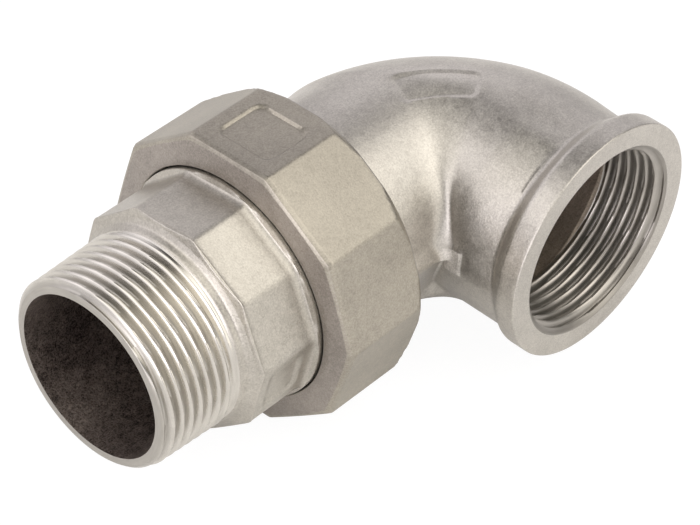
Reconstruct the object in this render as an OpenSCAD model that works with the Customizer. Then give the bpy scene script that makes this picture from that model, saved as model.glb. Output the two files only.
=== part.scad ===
// Union elbow for 1 1/4 inch steel pipe: female thread at one end, and at the other
// a loose tailpiece with a male thread, held on by a ten-sided union nut.
// The female leg points along -Y and the union leg along -X, with +Z up.
// The origin is on the female port's axis, where its thread begins behind the mouth chamfer.

/* [Pipe threads] */
// Radius over the male thread at its gauge plane, which is its plain wall here
male_thread_r = 20.955; // [20.8:0.001:21.1]
// Depth of both threads; the female thread's plain wall is this much smaller
thread_depth = 1.479; // [1.3:0.001:1.6]
// Length of the female thread's wall behind the mouth chamfer
female_thread_len = 12.6; // [8:0.1:14]
// Length of the male thread, its end chamfer included
male_thread_len = 18.6; // [14:0.1:22]

/* [Elbow body] */
// Radius of the bend, measured to the middle of the tube
bend_r = 27.5; // [26:0.1:32]
// From the end of the bend to the female mouth
female_leg = 15.9; // [15:0.1:30]
// From the end of the bend to the back of the union head
union_leg = 12.9; // [11:0.1:30]
// Step down from the female thread's wall to the waterway
waterway_step = 0.7; // [0.2:0.05:2]
// Wall of the casting in the bend
cast_wall = 5.7; // [4:0.1:7]
// How much slimmer the legs are at their ends than the tube in the bend
leg_taper = 1.3; // [0.2:0.1:2]
// How much fuller than the tube the legs are where they meet in the crook
crook_extra = 0.3; // [0.2:0.05:1]
// Depth of the wrench flats under the crook
wrench_depth = 1.9; // [1:0.1:3]
// Turn of the wrench flats on the union leg
wrench_turn = 0.7; // [0:0.1:10]

/* [Female mouth] */
// Width of the chamfer at the mouth
mouth_chamfer = 1.8; // [0.5:0.1:2.5]
// Height of the band round the mouth above the leg
band_height = 3; // [1.5:0.1:5]
// Width of the band round the mouth
band_w = 4.7; // [3:0.1:8]
// Length of the slope behind the band, down to the leg
band_slope = 2.7; // [1:0.1:4]
// Chamfer on the band's front edge
band_edge = 0.4; // [0.2:0.1:1.4]

/* [Sunken panel on the bend] */
// Where the panel starts, as an angle round the bend
bend_panel_from = 31; // [20:1:45]
// Angle round the bend that the panel takes
bend_panel_sweep = 38; // [10:1:45]
// Width of the panel
bend_panel_w = 9; // [4:0.1:12]
// Depth of the panel
bend_panel_depth = 0.4; // [0.2:0.05:1]

/* [Union head and seal] */
// Length of the union thread on the elbow
head_len = 10; // [7:0.1:12]
// Chamfer at the front of the union head
head_chamfer = 1; // [0.5:0.1:1.5]
// Thickness of the flat seal
seal_t = 2; // [1:0.1:3]
// Width of the seal's ring
seal_w = 6; // [4:0.1:6.5]
// How far the seal's rim is set in from the flange
seal_rim_step = 0.5; // [0:0.1:1]

/* [Union nut] */
// Wall of the nut at the middle of its flats
nut_wall = 3.25; // [2.5:0.05:8]
// How far the nut reaches back past the union head
nut_skirt = 1.5; // [0.5:0.1:3]
// Thickness of the lip that holds the tailpiece
nut_lip = 4; // [3:0.1:5]
// Turn of the nut on its axis
nut_turn = 33.4; // [0:0.1:36]
// Gap between the nut's thread and the union thread
thread_gap = 0.3; // [0.1:0.05:0.4]
// Turned chamfer on the nut's corners at the back
nut_chamfer = 1.4; // [0.5:0.1:2]
// How far the nut's front face falls back from its hole to its corners
nut_dome = 0.9; // [0.2:0.1:1.5]
// Width of the flat ring round the nut's hole
nut_rim = 1.3; // [0.5:0.1:3]
// Length of the sunken panel on one flat, along the nut
nut_panel_len = 12; // [6:0.1:14]
// Width of the sunken panel on one flat, across the flat
nut_panel_w = 14; // [6:0.1:15]
// Depth of the sunken panel on one flat
nut_panel_depth = 0.5; // [0.2:0.1:1]

/* [Tailpiece] */
// Wall between the tailpiece's bore and its male thread
tail_wall = 3.355; // [2.5:0.005:5]
// Width of the chamfer on the male end
nose_chamfer = 1.7; // [0.5:0.1:2.2]
// Length of the flared neck between the thread and the collar
neck_len = 2.6; // [1:0.1:5]
// How much wider than the thread the neck is at the collar
neck_flare = 1.2; // [0.2:0.1:2]
// Step from the thread up to the flats of the ten-sided collar
collar_step = 2.3; // [1.5:0.1:4]
// Length of the ten-sided collar
collar_len = 14.3; // [8:0.1:20]
// Turn of the collar on its axis
collar_turn = 30.6; // [0:0.1:36]
// Bevel on the collar's front corners
collar_bevel = 1.2; // [0.4:0.1:1.5]
// Length of the sunken panel on one collar flat, along the collar
collar_panel_len = 8.5; // [4:0.1:12]
// Width of the sunken panel on one collar flat, across the flat
collar_panel_w = 10; // [4:0.1:12]
// Depth of the sunken panel on one collar flat
collar_panel_depth = 0.4; // [0.2:0.05:0.8]
// Length of the slope from the collar's flats up to the round shoulder
collar_seat = 1.9; // [0.5:0.1:3]
// Step from the collar's corners out to the round shoulder
shoulder_step = 0.55; // [0.1:0.05:2]
// Gap between the shoulder and the nut's hole
shoulder_gap = 0.3; // [0.2:0.05:0.5]
// How far the shoulder shows in front of the nut
shoulder_show = 1.2; // [0.5:0.1:3]
// Step from the shoulder out to the flange inside the nut
flange_step = 1.5; // [1:0.1:3]
// Thickness of the flange inside the nut
flange_t = 4; // [3:0.1:5]
// Gap between the flange and the nut's thread
flange_gap = 1; // [0.5:0.1:1.2]

/* [Hidden] */
$fn = 96;

cast_steel = [0.66, 0.64, 0.61];
turned_steel = [0.76, 0.75, 0.72];
seal_white = [0.9, 0.9, 0.88];

flats = 10;
wrench_flats = 8;
// the flats that hold the panels, counted from the first corner
nut_panel_flat = 1;
collar_panel_flat = 4;
nut_panel_turn = flat_turn(nut_turn, nut_panel_flat);
collar_panel_turn = flat_turn(collar_turn, collar_panel_flat);
// how far a cut runs past the surface it opens
over = 1;

// places on both legs, measured out from the crossing of the centrelines
female_reach = bend_r + female_leg;
band_back = female_reach - band_w;
female_leg_end = band_back - band_slope;
thread_mouth = female_reach - mouth_chamfer;
head_back = bend_r + union_leg;
head_face = head_back + head_len;
flange_back = head_face + seal_t;
flange_front = flange_back + flange_t;
nut_front = flange_front + nut_lip;
nut_back = head_back - nut_skirt;
collar_back = nut_front + shoulder_show;
collar_front = collar_back + collar_len;
thread_back = collar_front + neck_len;
male_reach = thread_back + male_thread_len;

// radii of the casting, from its thread and waterway out
female_thread_r = male_thread_r - thread_depth;
waterway_r = female_thread_r - waterway_step;
tube_r = waterway_r + cast_wall;
crook_r = tube_r + crook_extra;
leg_r = tube_r - leg_taper;
band_r = leg_r + band_height;
wrench_af = 2 * (tube_r - wrench_depth);

// radii of the union, from the tailpiece's bore out to the nut
tail_bore_r = male_thread_r - tail_wall;
collar_af = 2 * (male_thread_r + collar_step);
collar_corner_r = corner_r(collar_af, flats);
shoulder_r = collar_corner_r + shoulder_step;
nut_hole_r = shoulder_r + shoulder_gap;
flange_r = shoulder_r + flange_step;
nut_bore_r = flange_r + flange_gap;
head_r = nut_bore_r - thread_gap;
nut_af = 2 * (nut_bore_r + nut_wall);
nut_corner_r = corner_r(nut_af, flats);
nut_rim_r = nut_hole_r + nut_rim;
// the front face falls by nut_dome at the corners, and is drawn a little past them
nut_dome_run = nut_dome * (nut_corner_r + over - nut_rim_r) / (nut_corner_r - nut_rim_r);
seal_rim_r = flange_r - seal_rim_step;
seal_hole_r = seal_rim_r - seal_w;

// The corner radius of a regular outline with n sides, from the size across its flats
function corner_r(af, n) = af / 2 / cos(180 / n);

// The direction in which a flat faces, on a ten-sided prism with its first corner at turn
function flat_turn(turn, flat) = turn + (flat + 1 / 2) * 360 / flats;

// The sub-parts are drawn with the crossing of the centrelines at zero, then moved
module at_port() translate([0, thread_mouth, 0]) children();

// Stands a shape drawn along +Z on a leg, with its foot at distance d from the crossing
module on_union_leg(d) translate([-d, 0, 0]) rotate([0, -90, 0]) children();
module on_female_leg(d) translate([0, -d, 0]) rotate([90, 0, 0]) children();

// Discs and cones on the union leg, from distance a to distance b
module union_disc(a, b, r) on_union_leg(a) cylinder(h = b - a, r = r);
module union_cone(a, b, ra, rb) on_union_leg(a) cylinder(h = b - a, r1 = ra, r2 = rb);
module female_disc(a, b, r) on_female_leg(a) cylinder(h = b - a, r = r);
module female_cone(a, b, ra, rb) on_female_leg(a) cylinder(h = b - a, r1 = ra, r2 = rb);

// A prism with n flats on the union leg; turn is its first corner's angle from +Y towards +Z
module union_prism(a, b, af, n, turn) translate([-a, 0, 0]) rotate([turn, 0, 0])
    rotate([0, -90, 0]) rotate(90) cylinder(h = b - a, r = corner_r(af, n), $fn = n);

// Cuts a sunken panel into a flat of a prism, centred at distance d on the union leg
module flat_panel(d, af, turn, len, w, depth) rotate([turn, 0, 0])
    translate([-d - len / 2, af / 2 - depth, -w / 2]) cube([len, depth + over, w]);

// Sweeps an outline through the quarter turn of the bend; the outline's x is measured
// from the middle of the tube, away from the middle of the bend
module quarter_turn(from = 0, sweep = 90) translate([-bend_r, -bend_r, 0]) rotate(from)
    rotate_extrude(angle = sweep) intersection() {
        translate([bend_r, 0]) children();
        translate([0, -tube_r]) square([bend_r + tube_r, 2 * tube_r]);
    }

// The bend: two legs that meet in a sharp crook, rounded off outside by the turn of the tube
module bend() intersection() {
    quarter_turn() {
        circle(tube_r);
        translate([-bend_r, -tube_r]) square([bend_r, 2 * tube_r]);
    }
    union() {
        union_disc(-tube_r - over, bend_r, crook_r);
        female_disc(-tube_r - over, bend_r, crook_r);
    }
}

// The quarter of the union leg, under the crook, that has wrench flats; it runs into the head
module wrench_quarter() translate([-head_back - over, -crook_r - over, -crook_r - over])
    cube([head_back + over - crook_r, crook_r + over, crook_r + over]);

module union_leg_tube() {
    difference() {
        union() {
            bend();
            union_cone(bend_r, head_back, tube_r, leg_r);
        }
        wrench_quarter();
    }
    intersection() {
        union_prism(crook_r - over, head_back + over, wrench_af, wrench_flats, wrench_turn);
        wrench_quarter();
    }
}

// The band round the female mouth, with a sloping back
module mouth_band() on_female_leg(0) rotate_extrude() polygon([[0, female_leg_end], [leg_r, female_leg_end],
    [band_r, band_back], [band_r, female_reach - band_edge], [band_r - band_edge, female_reach], [0, female_reach]]);

// The sunken panel on top of the bend, which follows its turn
module bend_panel() quarter_turn(bend_panel_from, bend_panel_sweep) difference() {
    translate([-bend_panel_w / 2, 0]) square([bend_panel_w, tube_r]);
    circle(tube_r - bend_panel_depth);
}

module waterway() {
    quarter_turn() circle(waterway_r);
    union_disc(bend_r, head_face + over, waterway_r);
    female_disc(bend_r, female_reach, waterway_r);
    female_disc(thread_mouth - female_thread_len, thread_mouth + over, female_thread_r);
    female_cone(thread_mouth, female_reach + over, female_thread_r, female_thread_r + mouth_chamfer + over);
}

// One casting: the female end, the bend and the union head
module elbow_body() color(cast_steel) at_port() difference() {
    union() {
        union_leg_tube();
        female_cone(bend_r, female_leg_end + over, tube_r, leg_r);
        mouth_band();
        union_disc(head_back, head_face - head_chamfer, head_r);
        union_cone(head_face - head_chamfer, head_face, head_r, head_r - head_chamfer);
    }
    waterway();
    bend_panel();
}

module tailpiece() color(turned_steel) at_port() difference() {
    union() {
        union_disc(flange_back, flange_front, flange_r);
        union_disc(flange_front, collar_back, shoulder_r);
        union_cone(collar_back, collar_back + collar_seat, shoulder_r, collar_af / 2);
        intersection() {
            union_prism(collar_back - over, collar_front, collar_af, flats, collar_turn);
            union() {
                union_disc(collar_back - over, collar_front - collar_bevel, collar_corner_r + over);
                union_cone(collar_front - collar_bevel, collar_front, collar_corner_r,
                    collar_corner_r - 2 * collar_bevel);
            }
        }
        union_cone(collar_front, thread_back, male_thread_r + neck_flare, male_thread_r);
        union_disc(collar_front - over, male_reach - nose_chamfer, male_thread_r);
        union_cone(male_reach - nose_chamfer, male_reach, male_thread_r, male_thread_r - nose_chamfer);
    }
    union_disc(flange_back - over, male_reach + over, tail_bore_r);
    flat_panel((collar_back + collar_front) / 2, collar_af, collar_panel_turn,
        collar_panel_len, collar_panel_w, collar_panel_depth);
}

module union_nut() color(cast_steel) at_port() difference() {
    intersection() {
        union_prism(nut_back, nut_front, nut_af, flats, nut_turn);
        union() {
            union_disc(nut_back + nut_chamfer, nut_front - nut_dome_run, nut_corner_r + over);
            union_cone(nut_front - nut_dome_run, nut_front, nut_corner_r + over, nut_rim_r);
            union_cone(nut_back, nut_back + nut_chamfer, nut_corner_r - nut_chamfer, nut_corner_r);
        }
    }
    union_disc(nut_back - over, flange_front, nut_bore_r);
    union_disc(flange_front - over, nut_front + over, nut_hole_r);
    flat_panel((nut_back + nut_front) / 2, nut_af, nut_panel_turn, nut_panel_len, nut_panel_w, nut_panel_depth);
}

module seal_ring() color(seal_white) at_port() difference() {
    union_disc(head_face, flange_back, seal_rim_r);
    union_disc(head_face - over, flange_back + over, seal_hole_r);
}

elbow_body();
tailpiece();
union_nut();
seal_ring();
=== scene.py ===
"""A 90 degree union elbow for 1 1/4 inch pipe, cast in stainless steel and bead-blasted:
the elbow with its female thread, the ten-sided nut, the tailpiece with its male thread
and the flat seal between them, lying on a pale floor."""
import math

import bpy
import numpy as np
from mathutils import Matrix, Vector


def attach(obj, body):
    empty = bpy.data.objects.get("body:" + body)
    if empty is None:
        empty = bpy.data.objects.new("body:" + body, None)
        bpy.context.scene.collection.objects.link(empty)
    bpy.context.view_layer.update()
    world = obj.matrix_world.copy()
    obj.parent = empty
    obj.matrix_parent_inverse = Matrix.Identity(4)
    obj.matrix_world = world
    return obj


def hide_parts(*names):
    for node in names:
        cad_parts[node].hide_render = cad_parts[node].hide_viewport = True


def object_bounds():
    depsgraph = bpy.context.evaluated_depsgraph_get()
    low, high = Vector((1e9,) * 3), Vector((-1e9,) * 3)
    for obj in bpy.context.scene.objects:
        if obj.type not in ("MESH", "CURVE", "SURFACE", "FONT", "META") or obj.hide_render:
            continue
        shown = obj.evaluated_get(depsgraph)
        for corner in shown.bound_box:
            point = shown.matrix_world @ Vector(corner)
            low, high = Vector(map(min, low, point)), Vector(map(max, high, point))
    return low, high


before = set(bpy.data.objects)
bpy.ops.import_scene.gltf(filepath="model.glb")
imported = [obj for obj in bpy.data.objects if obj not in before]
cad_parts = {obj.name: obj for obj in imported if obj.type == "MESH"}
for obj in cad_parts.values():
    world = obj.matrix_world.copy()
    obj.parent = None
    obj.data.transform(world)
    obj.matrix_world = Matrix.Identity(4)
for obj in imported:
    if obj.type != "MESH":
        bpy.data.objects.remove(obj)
cad_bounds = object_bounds()

# The camera looks down on the fitting from the side of both open ends, as in the photograph.
# Its place and directions are those at which the model's outlines fall on the photographed ones.
MM = 0.001
UNION_AXIS = 41.6  # Y of the union leg's axis; the female leg's axis is at X = 0
crossing = Vector((0, UNION_AXIS, 0)) * MM
camera_data = bpy.data.cameras.new("camera")
camera_data.sensor_width = 36
camera_data.lens = 148.527
camera_data.clip_start = 0.05
camera = bpy.data.objects.new("camera", camera_data)
bpy.context.scene.collection.objects.link(camera)
camera_right = Vector((0.68033, -0.73198, 0.03689)).normalized()
camera_back = -Vector((0.55514, 0.48180, -0.67801)).normalized()
camera_up = camera_back.cross(camera_right).normalized()
camera_place = Matrix.Translation(crossing + Vector((-351.858, -283.984, 381.521)) * MM)
camera_turn = Matrix((camera_right, camera_up, camera_back)).transposed().to_4x4()
camera.matrix_world = camera_place @ camera_turn
bpy.context.scene.camera = camera


# Elbow: one investment casting in stainless steel, bead-blasted all over, with wrench flats in
# the crook. The female thread, its mouth and the union head are cut after casting. The mesh is one
# closed sheet of rings: the union head, the outside, the mouth, and back through the waterway.
BEND = 27.5  # radius of the bend's centreline; lengths along it are counted from the bend's start
QUARTER = BEND * math.pi / 2
UNION_HEAD, HEAD_BACK = -22.9, -12.9
HEAD_RIM, HEAD_NECK = 27.85, 26.7
MOUTH = QUARTER + 15.9
BAND_FOOT, BAND_RIM = MOUTH - 8.4, 26.1
TUBE, WATERWAY = 24.2, 18.8
UNION_WALL, FEMALE_WALL = 23.2, 24.5  # radii of the two legs where they meet in the crook
PIPE_PITCH, PIPE_DEPTH = 2.309, 1.479
UNION_PITCH, UNION_DEPTH = 2.0, 1.1
FEMALE_MINOR, FEMALE_LENGTH = 19.476, 15.6
ELBOW_COLUMNS = 288


def around(columns, start):
    """Angles of the columns: 0 points away from the bend's middle, a quarter turn on is up."""
    return np.linspace(start, start + 2 * math.pi, columns, endpoint=False)[None, :]


def along(s):
    """Centres and outward directions (rows, 3) of rings at lengths s along the centreline: a
    straight leg, a quarter circle and a straight leg."""
    turn = np.clip(s / BEND, 0, math.pi / 2)
    before, after = np.minimum(s, 0), np.maximum(s - QUARTER, 0)
    outward = np.stack([np.sin(turn), np.cos(turn), 0 * s], 1)
    centre = BEND * (outward - [1, 1, 0]) + np.stack([before, -after, 0 * s], 1)
    return centre, outward


def rays(outward, angles):
    """Unit vectors (rows, columns, 3): the cosine of each angle times the row's outward
    direction, and its sine times up."""
    up = np.array([0, 0, 1])
    return np.cos(angles)[..., None] * outward[:, None, :] + np.sin(angles)[..., None] * up


def smooth_step(low, high, value):
    """0 below low, 1 above high, and 3t2 - 2t3 between them."""
    t = np.clip((value - low) / (high - low), 0, 1)
    return t * t * (3 - 2 * t)


def between(start, full, fading, end, value):
    """1 from full to fading, 0 outside start and end, with a smooth step on each side."""
    return smooth_step(start, full, value) * (1 - smooth_step(fading, end, value))


def soft_min(a, b, width):
    """The smaller of a and b, rounded off by a parabola where they differ by less than width."""
    h = np.clip(0.5 + 0.5 * (b - a) / width, 0, 1)
    return b + (a - b) * h - width * h * (1 - h)


def soft_max(a, b, width):
    """The larger of a and b, rounded off in the same way."""
    return -soft_min(-a, -b, width)


def thread_wave(turns):
    """Depth of a thread after so many turns: 0 on the crest, 1 in the root, straight flanks
    between, with the crest and the root rounded."""
    slope = 3 * np.abs(turns - np.floor(turns) - 0.5) - 0.25
    return 1 - soft_max(soft_min(slope, 1.0, 0.35), 0.0, 0.35)


def prism(angles, half_flats, flats, turn, rounding):
    """Radius of a prism whose first corner is at turn: half_flats over the larger of the cosines
    towards its two nearest flats, softened by rounding."""
    nearest = np.mod(angles - turn, 2 * math.pi / flats) - math.pi / flats
    beside = 2 * math.pi / flats - np.abs(nearest)
    return half_flats / soft_max(np.cos(nearest), np.cos(beside), rounding)


def sunken(across, down, width, height, corner, wall):
    """1 inside a rounded rectangle of that width and height about 0, 0, and 0 outside it, with
    a smooth step over the last wall inside."""
    x = np.abs(across) - width / 2 + corner
    y = np.abs(down) - height / 2 + corner
    outside = np.hypot(np.maximum(x, 0), np.maximum(y, 0)) + np.minimum(np.maximum(x, y), 0) - corner
    return 1 - smooth_step(-wall, 0, outside)


def turned(*corners):
    """Rows (along, radius) of a profile through corners given as (along, radius, rounding, cut).
    A corner is a parabola that starts and ends at its rounding from it, and the stretch up to
    a corner is cut into lengths of about cut."""
    bends, cuts = [np.array([corners[0][:2]], float)], []
    t = np.linspace(0, 1, 5)[:, None]
    for before, corner, after in zip(corners, corners[1:], corners[2:]):
        point = np.array(corner[:2], float)
        start, end = (
            point + (np.array(other[:2]) - point) * min(0.49, corner[2] / math.dist(point, other[:2]))
            for other in (before, after))
        bends.append((1 - t) ** 2 * start + 2 * t * (1 - t) * point + t * t * end)
        cuts += [corner[3]] + [math.inf] * 4
    bends.append(np.array([corners[-1][:2]], float))
    cuts.append(corners[-1][3])
    points = np.vstack(bends)
    rows = [points[:1]]
    for start, end, cut in zip(points, points[1:], cuts):
        count = max(1, math.ceil(math.dist(start, end) / cut))
        rows.append(start + (end - start) * np.arange(1, count + 1)[:, None] / count)
    return np.vstack(rows)


def closed_sheet(name, rings, finishes, materials):
    """A mesh from rings (rows, columns, 3) in millimetres from the crossing, joined round and end
    to end. finishes gives the material of each face, or is (rows, 1) or one number."""
    rows, columns = rings.shape[:2]
    index = np.arange(rows * columns).reshape(rows, columns)
    beside, below = np.roll(index, -1, 1), np.roll(index, -1, 0)
    quads = np.stack([index, beside, np.roll(beside, -1, 0), below], -1)
    slots = np.broadcast_to(finishes, (rows, columns)).ravel().astype(np.int32)
    mesh = bpy.data.meshes.new(name)
    mesh.vertices.add(rows * columns)
    mesh.vertices.foreach_set("co", (rings.reshape(-1, 3) * MM + np.array(crossing)).ravel())
    mesh.loops.add(quads.size)
    mesh.loops.foreach_set("vertex_index", quads.ravel())
    mesh.polygons.add(rows * columns)
    mesh.polygons.foreach_set("loop_start", np.arange(0, quads.size, 4))
    mesh.polygons.foreach_set("material_index", slots)
    mesh.polygons.foreach_set("use_smooth", np.ones(rows * columns, bool))
    for material in materials:
        mesh.materials.append(material)
    mesh.update(calc_edges=True)
    mesh.set_sharp_from_angle(angle=math.radians(42))
    piece = bpy.data.objects.new(name, mesh)
    bpy.context.scene.collection.objects.link(piece)
    return piece


class Value:
    """A socket in a material. Arithmetic on it adds Math nodes to the same material."""

    def __init__(self, finish, socket):
        self.finish, self.socket = finish, socket

    def math(self, operation, *operands):
        return self.finish.node("ShaderNodeMath", {"operation": operation}, dict(enumerate(operands)))

    def __add__(self, other):
        return self.math("ADD", self, other)

    def __sub__(self, other):
        return self.math("SUBTRACT", self, other)

    def __rsub__(self, other):
        return self.math("SUBTRACT", other, self)

    def __mul__(self, other):
        return self.math("MULTIPLY", self, other)

    def __pow__(self, other):
        return self.math("POWER", self, other)

    __radd__, __rmul__ = __add__, __mul__

    def step(self, low, high):
        """0 below low, 1 above high and smooth between them."""
        return self.finish.node("ShaderNodeMapRange", {"interpolation_type": "SMOOTHSTEP"},
                                {"Value": self, "From Min": low, "From Max": high})


class Finish:
    """A material, or the world, being put together from nodes."""

    def __init__(self, owner):
        owner.use_nodes = True
        self.owner, self.tree = owner, owner.node_tree

    def fill(self, node, sockets):
        """Sets or links a node's sockets."""
        for key, given in sockets.items():
            if isinstance(given, Value):
                self.tree.links.new(given.socket, node.inputs[key])
            else:
                node.inputs[key].default_value = given

    def node(self, kind, settings, sockets, output=0):
        """Adds a node, sets it and its sockets, and returns one of its outputs."""
        node = self.tree.nodes.new(kind)
        for key, setting in settings.items():
            setattr(node, key, setting)
        self.fill(node, sockets)
        return Value(self, node.outputs[output])

    def where(self):
        """The place on the piece."""
        return self.node("ShaderNodeTexCoord", {}, {}, "Object")

    def noise(self, where, size, detail=2.0, roughness=0.5):
        """Noise whose lumps are about size millimetres across."""
        return self.node("ShaderNodeTexNoise", {}, {"Vector": where, "Scale": 1 / (size * MM),
                                                    "Detail": detail, "Roughness": roughness})

    def mix(self, share, a, b):
        """Colour a where share is 0, b where it is 1."""
        return self.node("ShaderNodeMix", {"data_type": "RGBA"}, {"Factor": share, 6: a, 7: b}, 2)

    def bump(self, height, depth, under=None):
        """A normal bent by height, which stands for depth millimetres, on top of the bump under."""
        sockets = {"Height": height, "Distance": depth * MM, "Strength": 1.0}
        if under:
            sockets["Normal"] = under
        return self.node("ShaderNodeBump", {}, sockets)

    def shade(self, sockets):
        """Sets or links the sockets of the material's own shader."""
        self.fill(self.tree.nodes["Principled BSDF"], sockets)


def steel(name, dark, light, roughness, grain_depth, pebble_depth):
    """Blasted cast steel: colour drifts between dark and light over centimetres and over the
    pebbles left by the mould, and the beads leave a fine grain. Depths are in millimetres."""
    finish = Finish(bpy.data.materials.new(name))
    where = finish.where()
    drift = finish.noise(where, 22.0)
    pebbles = finish.noise(where, 1.6, 3.0, 0.55)
    grain = finish.noise(where, 0.36, 2.0, 0.7)
    share = (drift - 0.5) * 1.1 + (pebbles - 0.5) * 0.8 + (grain - 0.5) * 2.0 + 0.5
    rounded = finish.bump(pebbles, pebble_depth)
    finish.shade({"Metallic": 1.0,
                  "Base Color": finish.mix(share, (*dark, 1), (*light, 1)),
                  "Roughness": (grain - 0.5) * 0.2 + (pebbles - 0.5) * 0.12 + roughness,
                  "Normal": finish.bump(grain, grain_depth, under=rounded)})
    return finish.owner


def lathe_cut(name, axis, dark, light, roughness, crest, root):
    """Turned steel, with faint lines round the axis ("X" or "Y") through the crossing: noise is
    read along the axis and the radius, and hardly along the turn. From the crest's radius to the
    root's, both in millimetres, its colour is painted darker: painted shade in the thread's roots,
    together with oil and dirt."""
    finish = Finish(bpy.data.materials.new(name))
    where = finish.where()
    x, y, z = (finish.node("ShaderNodeSeparateXYZ", {}, {0: where}, part) for part in range(3))
    length, sideways = (x, y - UNION_AXIS * MM) if axis == "X" else (y, x)
    radius = (sideways * sideways + z * z) ** 0.5
    angle = sideways.math("ARCTAN2", z, sideways)

    def round_the_axis(turn, size):
        """Noise of that size in millimetres, which moves on by turn millimetres in a radian."""
        place = {0: length, 1: radius, 2: angle * (turn * MM)}
        return finish.noise(finish.node("ShaderNodeCombineXYZ", {}, place), size)

    lines, smears = round_the_axis(1.6, 0.35), round_the_axis(14, 3.0)
    share = (lines - 0.5) * 0.8 + (smears - 0.5) * 0.7 + 0.5
    # depth rises from the crest to the root and mixes the colour towards dark brown: painted shade in the
    # roots, together with oil and dirt.
    depth = ((radius - crest * MM) * (1 / MM / (root - crest))).step(0.1, 1.0)
    bright = finish.mix(share, (*dark, 1), (*light, 1))
    finish.shade({"Metallic": 1.0,
                  "Base Color": finish.mix(depth * 0.35, bright, (0.1, 0.09, 0.075, 1)),
                  "Roughness": (smears - 0.5) * 0.12 + depth * 0.1 + roughness,
                  "Normal": finish.bump(lines, 0.003)})
    return finish.owner


cast_steel = steel("blasted_cast_steel", (0.4, 0.375, 0.34), (0.64, 0.61, 0.555), 0.4, 0.03, 0.05)
elbow_cut = lathe_cut("turned_steel_of_the_elbow", "Y", (0.34, 0.32, 0.29), (0.54, 0.51, 0.465),
                      0.36, 19.6, 20.9)
# The waterway's inside is given a dark brown colour, darker than the outside: painted shade deep in the
# casting.
waterway_painted_shade = steel("waterway_wall_with_painted_shade", (0.2, 0.165, 0.13), (0.4, 0.34, 0.275), 0.6, 0.04, 0.06)
gate_cut = steel("ground_gate_steel", (0.5, 0.47, 0.43), (0.86, 0.83, 0.78), 0.65, 0.02, 0.03)
CAST, CUT, WATER, GROUND = range(4)  # their places in the elbow's list of materials

WRENCH_HALF_FLATS, WRENCH_TURN = 22.6, math.radians(0.7)
SHELF_FOOT, SHELF_EDGE, SHELF_RISE = math.radians(171), math.radians(179.3), 1.5
GATE = np.array([-24.6, -26.2, -0.4])  # middle of the flat that is left by the gate
GATE_HALF_LENGTH, GATE_HALF_HEIGHT = 2.0, 3.2
UNDER_CROOK = [math.radians(turn) for turn in (172, 188, 255, 290)]


def casting_field(points, out, tube, under):
    """Below 0 inside the casting. A tyre that is square towards the bend's middle is cut down to
    two crossing cylinders, which leaves a crook, and the female leg has the gate's flat on it.
    Under the crook the union leg has wrench flats, and above them it flares out to a shelf and
    towards the crease. out is the distance outwards from the centreline, tube is the tyre's
    radius, and under is 1 on the lower side of the crook, where the legs don't taper."""
    x, y, z = points[..., 0], points[..., 1], points[..., 2]
    union_wall = UNION_WALL - 0.3 * smooth_step(28, 40, -x) * (1 - under)
    female_wall = FEMALE_WALL - 1.2 * smooth_step(25, 38, -y) * (1 - under)
    tyre = np.where(out > 0, np.hypot(out, z), np.abs(z)) - tube
    angle = np.mod(np.arctan2(z, y), 2 * math.pi)
    flats = (angle > math.pi + WRENCH_TURN) & (angle < 1.5 * math.pi + WRENCH_TURN)
    octagon = prism(angle, WRENCH_HALF_FLATS, 8, WRENCH_TURN, 0.012)

    shelf_edge = SHELF_EDGE - math.radians(4) * np.clip((-24 - x) / 15, 0, 1)
    shelf = np.clip((angle - SHELF_FOOT) / (shelf_edge - SHELF_FOOT), 0, 1) ** 1.5
    beside_crease = np.maximum(0, -x - np.sqrt(np.maximum(FEMALE_WALL ** 2 - z ** 2, 0)))
    flare_height = 1.2 + 1.8 * np.clip((14 - z) / 11, 0, 1) ** 1.5
    flare_width = 5 + 0.4 * np.maximum(z - 8, 0)
    flare = flare_height * np.clip(1 - beside_crease / flare_width, 0, 1) ** 3
    rise = np.hypot(flare, SHELF_RISE * shelf) * (angle < 1.1 * math.pi)

    union_leg = np.hypot(y, z) - np.where(flats, octagon, union_wall + rise)
    female_leg = np.hypot(x, z) - female_wall
    gate_sides = soft_max(np.abs(y - GATE[1]) - GATE_HALF_LENGTH,
                          np.abs(z - GATE[2]) - GATE_HALF_HEIGHT, 0.8)
    gate = soft_max(gate_sides, GATE[0] - x, 0.6)
    crease = 0.6 + 3.2 * smooth_step(8, 24, z) + 8.8 * smooth_step(12, 19, -z)
    legs = soft_min(union_leg, soft_min(female_leg, gate, 0.4), crease)
    return soft_max(tyre, legs, 0.6)


def casting_radius(s, angles):
    """The casting's radius at lengths s and angles: where the field turns from inside to outside
    on the ray from the centreline, found by halving. The tyre's radius shrinks towards both ends,
    but not under the crook."""
    centre, outward = along(s)
    under = between(*UNDER_CROOK, angles)
    union_taper = smooth_step(-4, 14, -s)[:, None] * (1 - under)
    female_taper = smooth_step(QUARTER - 12, QUARTER + 9, s)[:, None] * (1 - under)
    tube = TUBE - 1.3 * union_taper - 1.2 * female_taper
    ray = rays(outward, angles)
    low, high = np.zeros(ray.shape[:2]), np.full(ray.shape[:2], 40.0)
    for _ in range(22):
        middle = (low + high) / 2
        points = centre[:, None, :] + middle[..., None] * ray
        inside = casting_field(points, middle * np.cos(angles), tube, under) < 0
        low, high = np.where(inside, middle, low), np.where(inside, high, middle)
    return low


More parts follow.
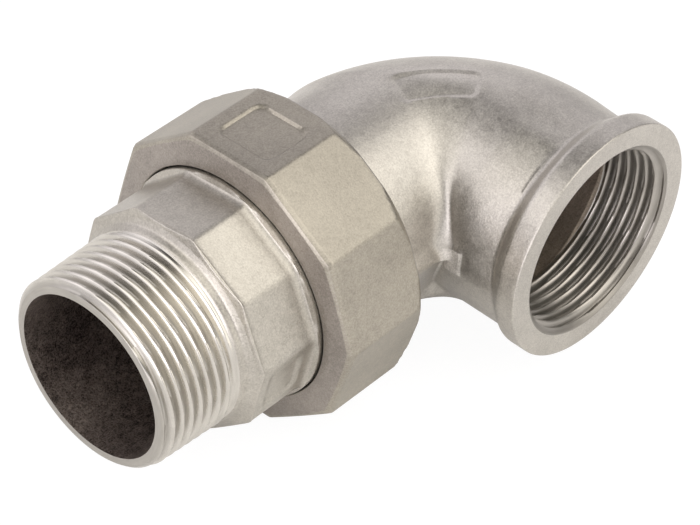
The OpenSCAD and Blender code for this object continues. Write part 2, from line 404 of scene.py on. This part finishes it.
elbow_angles = around(ELBOW_COLUMNS, WRENCH_TURN)
head = turned((UNION_HEAD, WATERWAY, 0, 1), (UNION_HEAD, 26.4, 0.3, 2), (-21.9, HEAD_RIM, 0.2, 0.3),
              (-14.0, HEAD_RIM, 0.2, 0.25), (-13.6, HEAD_NECK, 0.2, 0.5),
              (HEAD_BACK, HEAD_NECK, 0.3, 0.5), (HEAD_BACK, 23.3, 0, 2))
skin = np.linspace(HEAD_BACK, BAND_FOOT, 117)[1:]
band = turned((BAND_FOOT, 22.4, 0, 1), (MOUTH - 4.7, BAND_RIM, 0.7, 0.4), (MOUTH, BAND_RIM, 0.35, 0.8),
              (MOUTH, 21.2, 0.25, 1.2), (MOUTH - 1.6, FEMALE_MINOR, 0.2, 0.4),
              (MOUTH - FEMALE_LENGTH, FEMALE_MINOR, 0.2, 0.2),
              (MOUTH - 21, WATERWAY, 0.2, 0.7), (MOUTH - 21.5, WATERWAY, 0, 0.5))
band_s, band_flat = band[:, :1], band[:, 1:]
behind_band = (band_s < MOUTH - 4) & (band_flat > 22)
band_foot = soft_max(band_flat, casting_radius(band[:, 0], elbow_angles), 0.8)
waterway = np.linspace(MOUTH - 23, UNION_HEAD + 0.3, 28)

elbow_s = np.concatenate([head[:, 0], skin, band[:, 0], waterway])
elbow_radius = np.concatenate([
    np.repeat(head[:, 1:], ELBOW_COLUMNS, 1), casting_radius(skin, elbow_angles),
    np.where(behind_band, band_foot, band_flat), np.full((len(waterway), ELBOW_COLUMNS), WATERWAY)])
elbow_row = np.arange(len(elbow_s))
band_row = len(head) + len(skin)
in_head = elbow_row < len(head)
in_skin = (elbow_row >= len(head)) & (elbow_row < band_row)
in_mouth = elbow_row >= band_row + np.argmin(np.abs(band[:, 0] - MOUTH))
elbow_along = elbow_s[:, None]

union_turns = (elbow_along - BEND) / UNION_PITCH - elbow_angles / (2 * math.pi)
union_share = in_head[:, None] * between(UNION_HEAD + 0.4, -21.6, -14.4, -14.0, elbow_along)
elbow_radius -= UNION_DEPTH * union_share * thread_wave(union_turns)

FEMALE_PHASE = -39.1  # a crest crosses the outermost line of the mouth this far along Y
from_crossing = -(elbow_along - QUARTER + BEND)
female_turns = (from_crossing - FEMALE_PHASE) / PIPE_PITCH + elbow_angles / (2 * math.pi)
runout = 1 - smooth_step(13.2, 15.2, MOUTH - elbow_along + 0.5 * np.sin(elbow_angles * 3))
in_bore = (elbow_radius < FEMALE_MINOR + 1.2) * (elbow_along > MOUTH - FEMALE_LENGTH)
female_thread = FEMALE_MINOR + PIPE_DEPTH * thread_wave(female_turns)
elbow_radius += in_mouth[:, None] * in_bore * runout * np.maximum(0, female_thread - elbow_radius)

PANEL_FROM, PANEL_TO, PANEL_MIDDLE = math.radians(25), math.radians(59), math.radians(87.5)
panel = sunken(elbow_along - BEND * (PANEL_FROM + PANEL_TO) / 2, (elbow_angles - PANEL_MIDDLE) * TUBE,
               BEND * (PANEL_TO - PANEL_FROM), 8.0, 1.8, 0.5)
elbow_radius -= 0.4 * panel * in_skin[:, None]

centre, outward = along(elbow_s)
elbow_rings = centre[:, None, :] + elbow_radius[..., None] * rays(outward, elbow_angles)
gate_reach = (2, GATE_HALF_LENGTH, GATE_HALF_HEIGHT - 0.1)
on_gate = np.all(np.abs(elbow_rings - GATE) < gate_reach, -1)
mouth_row = band_row + np.argmax(band[:, 1] < 21.4)
elbow_finish = np.where(on_gate, GROUND, np.where(in_head, CUT, CAST)[:, None])
elbow_finish[mouth_row:] = CUT
# Back from the female thread, the inside takes the waterway's colour with painted shade.
elbow_finish[(elbow_row > mouth_row) & (elbow_s < MOUTH - 14.6)] = WATER
elbow = closed_sheet("elbow_casting", elbow_rings, elbow_finish,
                     [cast_steel, elbow_cut, waterway_painted_shade, gate_cut])
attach(elbow, "elbow")
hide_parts("elbow_body")


# Tailpiece: a casting with a ten-sided wrench collar, whose taper pipe thread and round shoulder
# are turned. Its flange, hidden in the nut, presses on the seal. The nut turns round the shoulder.
TAIL_END, TAIL_BORE, COLLAR_FRONT, COLLAR_BACK = -97.08, 17.7, -75.9, -61.0
THREAD_BACK, NECK_FRONT = -79.2, -78.2
FLANGE_FRONT, FLANGE_BACK = -56.4, -52.4
COLLAR_HALF_FLATS, COLLAR_TURN, FLATS = 23.3, math.radians(30.6), 10
SHOULDER, FLANGE, GAUGE = 25.0, 26.5, 20.95
MALE_PHASE = -95.96  # a crest crosses the outermost line of the thread this far along X
TAIL_COLUMNS = 360

tail_cut = lathe_cut("turned_steel_of_the_tailpiece", "X", (0.5, 0.475, 0.43), (0.72, 0.69, 0.63),
                     0.24, 20.6, 19.3)
collar_steel = steel("blasted_collar_steel", (0.37, 0.345, 0.305), (0.59, 0.56, 0.5), 0.4, 0.03, 0.04)
# The bore's inside is given a dark colour, far darker than the outside: painted shade deep in the
# tailpiece.
bore_painted_shade = steel("bore_wall_with_painted_shade", (0.06, 0.045, 0.04), (0.54, 0.46, 0.41), 0.5, 0.05, 0.06)


def turned_rings(x, radius, angles):
    """Rings (rows, columns, 3) round the union leg's axis: x along it, and the radius times the
    cosine and the sine of each angle."""
    circles = np.broadcast_arrays(x, radius * np.cos(angles), radius * np.sin(angles))
    return np.stack(circles, -1)


def flat_panel(x, angles, half_flats, turn, width, height, corner, wall):
    """1 in a sunken panel on the flat of a prism, with its middle at x = 0 and at turn. Across the
    flat, the distance is half_flats times the tangent of the angle from turn."""
    beside = angles - turn
    across = half_flats * np.tan(np.clip(beside, -0.5, 0.5))
    return sunken(x, across, width, height, corner, wall) * (np.abs(beside) < 0.5)


tail_angles = around(TAIL_COLUMNS, math.radians(0.6))
tail_profile = turned((TAIL_END, TAIL_BORE, 0, 1), (TAIL_END, 19.35, 0.15, 0.8),
                      (-95.75, 20.62, 0.12, 0.4), (THREAD_BACK, 21.07, 0.1, 0.178),
                      (-78.9, 20.35, 0.1, 0.3), (-78.3, 20.5, 0.1, 0.3), (-77.9, 21.0, 0.3, 0.3),
                      (-76.6, 21.5, 0.4, 0.4), (COLLAR_FRONT, 22.7, 0.2, 0.4), (-75.2, 24.6, 0.2, 0.25),
                      (COLLAR_BACK - 2.3, SHOULDER, 0.1, 0.7), (COLLAR_BACK - 0.4, SHOULDER, 0.1, 0.15),
                      (COLLAR_BACK, SHOULDER, 0.05, 0.05), (FLANGE_FRONT, SHOULDER, 0.2, 1.2),
                      (FLANGE_FRONT, FLANGE, 0.3, 0.5), (FLANGE_BACK, FLANGE, 0.4, 1.2),
                      (FLANGE_BACK, TAIL_BORE, 0.3, 2.5), (TAIL_END + 0.3, TAIL_BORE, 0, 2.2))
tail_x = tail_profile[:, :1]
tail_row = np.arange(len(tail_x))[:, None]
flange_row = np.argmax(tail_x > FLANGE_BACK - 0.01)
tail_outside = tail_row < flange_row

male_turns = (tail_x - MALE_PHASE) / PIPE_PITCH - tail_angles / (2 * math.pi)
depth_share = 1 - smooth_step(THREAD_BACK - 1.4, THREAD_BACK + 0.2, tail_x) * 0.75
taper = (tail_x - THREAD_BACK) / 32
male_thread = GAUGE + taper - PIPE_DEPTH * depth_share * thread_wave(male_turns) + 0.12
threaded = tail_outside * (tail_x < THREAD_BACK + 0.2)
tail_radius = np.minimum(tail_profile[:, 1:], np.where(threaded, male_thread, math.inf))

# The collar's flats meet the shoulder in a hollow and end in a round face, and a fine ridge runs
# along their front edge.
collar = prism(tail_angles, COLLAR_HALF_FLATS, FLATS, COLLAR_TURN, 0.02)
in_collar = tail_outside * (tail_x > -76.5) * (tail_x < COLLAR_BACK - 0.02)
hollow = 0.8 - 0.8 * np.sqrt(1 - np.clip((tail_x - COLLAR_BACK + 2.3) / 2, 0, 1) ** 2)
face = np.clip((tail_x - COLLAR_BACK + 0.3) / 0.2, 0, 1)
ridge = 0.1 * np.exp(-((tail_x + 75.3) / 0.25) ** 2)
flat_radius = collar + hollow + ridge + (SHOULDER - 0.1 - collar - hollow) * face
tail_radius = np.where(in_collar, soft_min(tail_radius, flat_radius, 0.12), tail_radius)
panel = flat_panel(tail_x + 68.75, tail_angles, COLLAR_HALF_FLATS, math.radians(192.6), 8.5, 10, 1.2, 0.4)
tail_radius -= 0.4 * panel * in_collar

blasted = (tail_x >= NECK_FRONT) & (tail_x < COLLAR_BACK + 0.1)
# Past the flange, the bore's inside takes the material with painted shade.
tail_finish = np.where(tail_row > flange_row + 8, 2, np.where(blasted, 1, 0))
tail = closed_sheet("tailpiece_casting", turned_rings(tail_x, tail_radius, tail_angles), tail_finish,
                    [tail_cut, collar_steel, bore_painted_shade])
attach(tail, "tail")
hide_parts("tailpiece")


# Nut: a ten-sided casting, turned at both ends and threaded inside. Its lip holds the
# tailpiece's flange, and its thread runs on the elbow's union head.
NUT_FRONT, NUT_BACK, NUT_HOLE, NUT_HALF_FLATS = -60.42, -38.9, 25.3, 30.75
NUT_TURN, NUT_CORNER = math.radians(33.4), 32.3
NUT_MINOR, NUT_MOUTH = 27.6, 28.3
NUT_RELIEF = 28.4  # radius of the groove between the thread and the lip
NUT_COLUMNS = 600
nut_steel = steel("blasted_nut_steel", (0.29, 0.265, 0.225), (0.46, 0.425, 0.36), 0.42, 0.03, 0.03)
nut_ring = steel("blasted_nut_ring", (0.26, 0.235, 0.21), (0.44, 0.4, 0.36), 0.48, 0.03, 0.03)
nut_cut = lathe_cut("turned_steel_of_the_nut", "X", (0.45, 0.43, 0.4), (0.65, 0.62, 0.58),
                    0.3, 27.2, 28.0)

nut_angles = around(NUT_COLUMNS, math.radians(0.4))
nut_profile = turned((NUT_FRONT, NUT_HOLE + 0.2, 0, 1), (NUT_FRONT, 26.6, 0.6, 0.7),
                     (-59.87, 29.95, 0.12, 1.5), (-59.5, 30.5, 0.12, 0.4),
                     (-58.6, NUT_HALF_FLATS, 0.2, 0.4), (NUT_BACK, NUT_HALF_FLATS, 0.3, 0.55),
                     (NUT_BACK, NUT_MOUTH, 0.2, 1.3), (-39.6, NUT_MINOR, 0.2, 0.4),
                     (-54.6, NUT_MINOR, 0.3, 0.27), (-54.6, NUT_RELIEF, 0.2, 0.4),
                     (FLANGE_FRONT - 0.3, NUT_RELIEF, 0.2, 0.8), (FLANGE_FRONT - 0.3, NUT_HOLE, 0.2, 1.5),
                     (NUT_FRONT + 0.2, NUT_HOLE, 0, 0.8))
nut_x, nut_flat = nut_profile[:, :1], nut_profile[:, 1:]
nut_row = np.arange(len(nut_x))[:, None]
mouth_edge = np.argmax((nut_x > NUT_BACK - 0.01) & (nut_flat < NUT_MOUTH + 0.3))
nut_outside = nut_row <= mouth_edge

# Outside, radii past the mouth's are stretched to the ten flats, whose back corners are turned off.
nut_prism = prism(nut_angles, NUT_HALF_FLATS, FLATS, NUT_TURN, 0.008)
stretch = (nut_prism - NUT_MOUTH) / (NUT_HALF_FLATS - NUT_MOUTH)
stretched = np.where(nut_flat > NUT_MOUTH, NUT_MOUTH + (nut_flat - NUT_MOUTH) * stretch, nut_flat)
back_cone = NUT_CORNER - 1.5 + (NUT_BACK - nut_x) * 0.9
nut_radius = np.where(nut_outside, np.minimum(stretched, back_cone), nut_flat)
nut_panel_turn = NUT_TURN + 1.5 * 2 * math.pi / FLATS
panel = flat_panel(nut_x + 49.65, nut_angles, NUT_HALF_FLATS, nut_panel_turn, 12, 14, 2.2, 0.5)
nut_radius -= 0.5 * panel * nut_outside
nut_turns = nut_x / UNION_PITCH - nut_angles / (2 * math.pi)
nut_threaded = ~nut_outside * between(-54.5, -54.0, -40.2, -39.7, nut_x)
nut_radius += nut_threaded * (0.5 - UNION_DEPTH * thread_wave(nut_turns))

nut_turned = (nut_x > NUT_BACK - 0.35) | (nut_row > mouth_edge)
nut_finish = np.where(nut_turned, 2, np.where(nut_x < -59.86, 1, 0))
nut = closed_sheet("ten_sided_nut", turned_rings(nut_x, nut_radius, nut_angles), nut_finish,
                   [nut_steel, nut_ring, nut_cut])
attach(nut, "nut")
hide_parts("union_nut")


# Seal: a flat ring of white PTFE, cut from sheet, between the union head and the flange.
# Cloudy white, with no marks.
SEAL_BACK, SEAL_FRONT, SEAL_HOLE, SEAL_RIM = -50.42, -52.38, 20.0, 26.0
SEAL_COLUMNS = 144
seal_finish = Finish(bpy.data.materials.new("white_seal"))
seal_cloud = seal_finish.noise(seal_finish.where(), 3.0, 3.0)
seal_finish.shade({
    "Base Color": seal_finish.mix(seal_cloud, (0.8, 0.8, 0.77, 1), (0.88, 0.88, 0.86, 1)),
    "Roughness": 0.45})
seal_profile = turned((SEAL_FRONT, SEAL_HOLE + 0.2, 0, 1), (SEAL_FRONT, SEAL_RIM, 0.15, 2),
                      (SEAL_BACK, SEAL_RIM, 0.15, 1), (SEAL_BACK, SEAL_HOLE, 0.15, 2),
                      (SEAL_FRONT + 0.2, SEAL_HOLE, 0, 1))
seal_rings = turned_rings(seal_profile[:, :1], seal_profile[:, 1:], around(SEAL_COLUMNS, 0))
seal = closed_sheet("flat_seal", seal_rings, 0, [seal_finish.owner])
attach(seal, "seal")
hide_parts("seal_ring")


# Floor: a pale sheet of paper that keeps a faint shadow of the fitting. The camera sees it nearly
# white, and the steel mirrors a little of that white.
FLOOR_HALF = 1.5
floor_z = cad_bounds[0][2]
floor_corners = [(x * FLOOR_HALF, y * FLOOR_HALF, floor_z) for x, y in ((-1, -1), (1, -1), (1, 1), (-1, 1))]
floor_mesh = bpy.data.meshes.new("floor")
floor_mesh.from_pydata(floor_corners, [], [(0, 1, 2, 3)])
floor = bpy.data.objects.new("floor", floor_mesh)
bpy.context.scene.collection.objects.link(floor)
floor_finish = Finish(bpy.data.materials.new("pale_floor"))
floor_nodes = floor_finish.tree.nodes
floor_nodes.remove(floor_nodes["Principled BSDF"])
paper = floor_finish.node("ShaderNodeBsdfDiffuse", {}, {"Color": (0.9, 0.9, 0.9, 1)})
glow = floor_finish.node("ShaderNodeEmission", {}, {"Color": (1, 1, 1, 1), "Strength": 1.08})
seen, mirrored = (floor_finish.node("ShaderNodeLightPath", {}, {}, ray)
                  for ray in ("Is Camera Ray", "Is Glossy Ray"))
glow_share = seen * 0.85 + mirrored * 0.12
lit = floor_finish.node("ShaderNodeMixShader", {}, {0: glow_share, 1: paper, 2: glow})
floor_finish.fill(floor_nodes["Material Output"], {"Surface": lit})
floor_mesh.materials.append(floor_finish.owner)


# Light: a studio with eight soft panels, which are round glows in the world, brightest low in
# front of the male end and high in front of the female mouth. Each is (turn from +X, height,
# strength), with angles in degrees. The camera sees plain white past the floor.
WARM_PANELS = ((180, 55, 1.3), (280, 3, 1.8), (300, 55, 2.25))
COOL_PANELS = ((20, 25, 0.6), (60, 25, 0.65), (100, 25, 0.7), (140, 25, 1.1), (200, 3, 3.35))
PANEL_RADIUS = math.radians(42)

world = bpy.data.worlds.new("studio")
bpy.context.scene.world = world
studio = Finish(world)
studio.tree.nodes.clear()
direction = studio.node("ShaderNodeTexCoord", {}, {}, "Generated")


def glows(panels):
    """The sum of the panels' light from a direction of the world. A panel's light falls by a
    smooth step of the cosine from its middle to PANEL_RADIUS away."""
    total = 0
    for turn, height, strength in panels:
        turn, height = math.radians(turn), math.radians(height)
        middle = (math.cos(turn) * math.cos(height), math.sin(turn) * math.cos(height), math.sin(height))
        near = studio.node("ShaderNodeVectorMath", {"operation": "DOT_PRODUCT"},
                           {0: direction, 1: middle}, "Value")
        total = near.step(math.cos(PANEL_RADIUS), 1.0) * strength + total
    return total


def background(colour, strength):
    """Light of one colour from all round."""
    return studio.node("ShaderNodeBackground", {}, {"Color": (*colour, 1), "Strength": strength})


warm = background((1.03, 1, 0.95), glows(WARM_PANELS))
cool = background((1.03, 1, 1.05), glows(COOL_PANELS))
room = studio.node("ShaderNodeAddShader", {}, {0: warm, 1: cool})
seen = studio.node("ShaderNodeLightPath", {}, {}, "Is Camera Ray")
sky = studio.node("ShaderNodeMixShader", {}, {0: seen, 1: room, 2: background((1, 1, 1), 1)})
studio.fill(studio.tree.nodes.new("ShaderNodeOutputWorld"), {"Surface": sky})

bpy.context.scene.view_settings.view_transform = "Standard"
